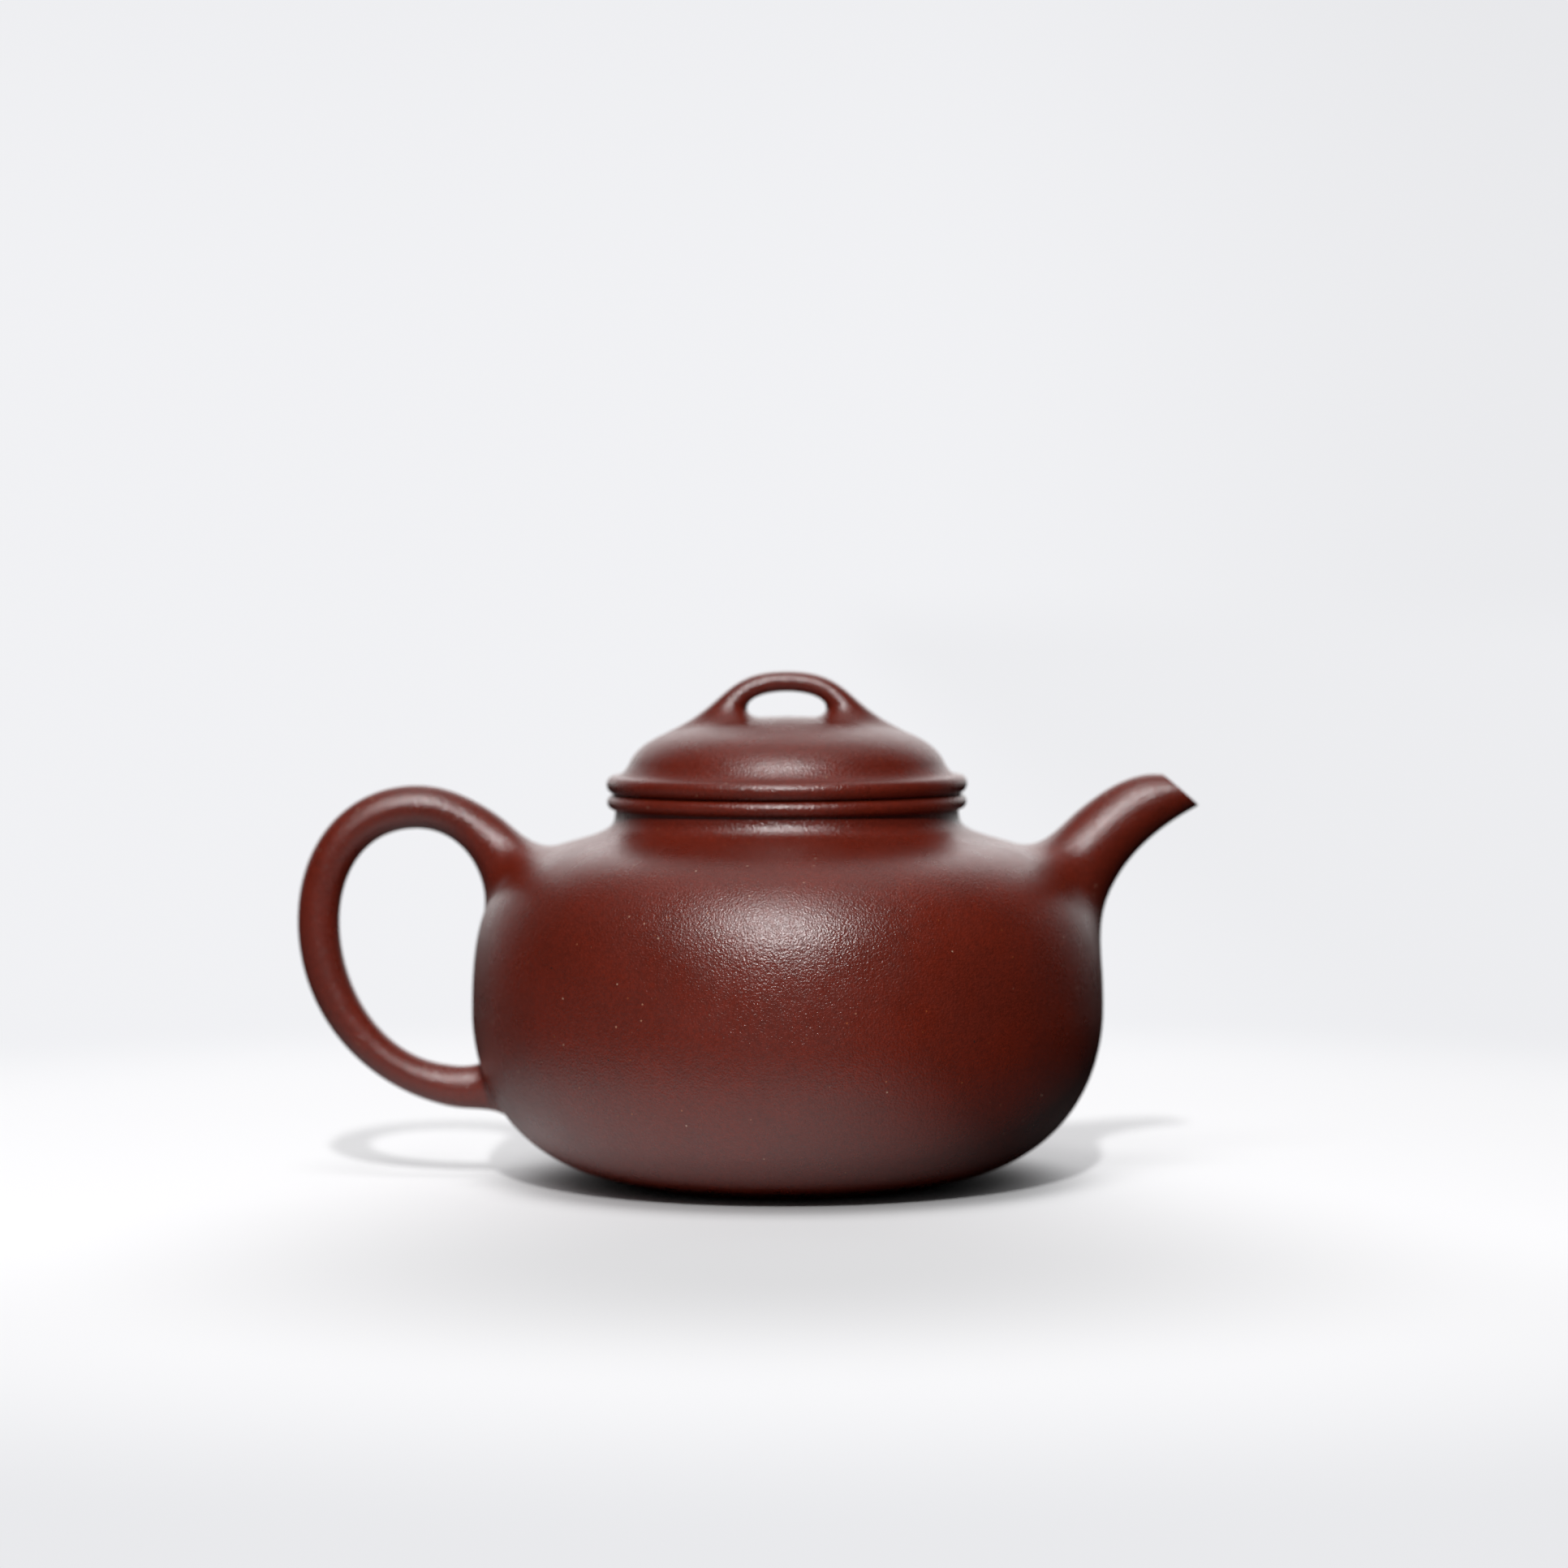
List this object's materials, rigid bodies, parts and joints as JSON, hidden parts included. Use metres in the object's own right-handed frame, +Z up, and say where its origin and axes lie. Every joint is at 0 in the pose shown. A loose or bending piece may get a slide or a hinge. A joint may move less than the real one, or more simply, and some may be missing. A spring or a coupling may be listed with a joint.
{
  "type": "teapot",
  "caption": "Round-bellied unglazed red clay teapot with a coil handle, a curved spout and a lift-off lid with a bridge knob, for brewing and pouring tea.",
  "frame": {"origin": "centre of the flat base, on the table", "axes": "+Z up through the lid knob, +X towards the spout, -X towards the handle"},
  "size_m": [0.1499, 0.105, 0.0847],
  "materials": {
    "clay": "unglazed, satin, fine grained with sparse pale specks"
  },
  "bodies": {
    "pot": {"base_disc": "clay", "body_wall": "clay", "shoulder_disc": "clay", "neck_ring": "clay", "mouth_rim": "clay", "spout": "clay", "spout_strainer": "clay", "handle": "clay"},
    "lid_carrier": {"lid_flange": "clay"},
    "lid": {"lid_seat_disc": "clay", "lid_rim_band": "clay", "lid_dome": "clay", "bridge_knob": "clay"}
  },
  "joints": [
    {"name": "lid_lift", "type": "slide", "parent": "pot", "child": "lid_carrier", "axis": [0, 0, 1], "range_m": [0, 0.06]},
    {"name": "lid_turn", "type": "hinge", "parent": "lid_carrier", "child": "lid", "pos_m": [0, 0, 0.06465], "axis": [0, 0, 1], "continuous": true}
  ]
}
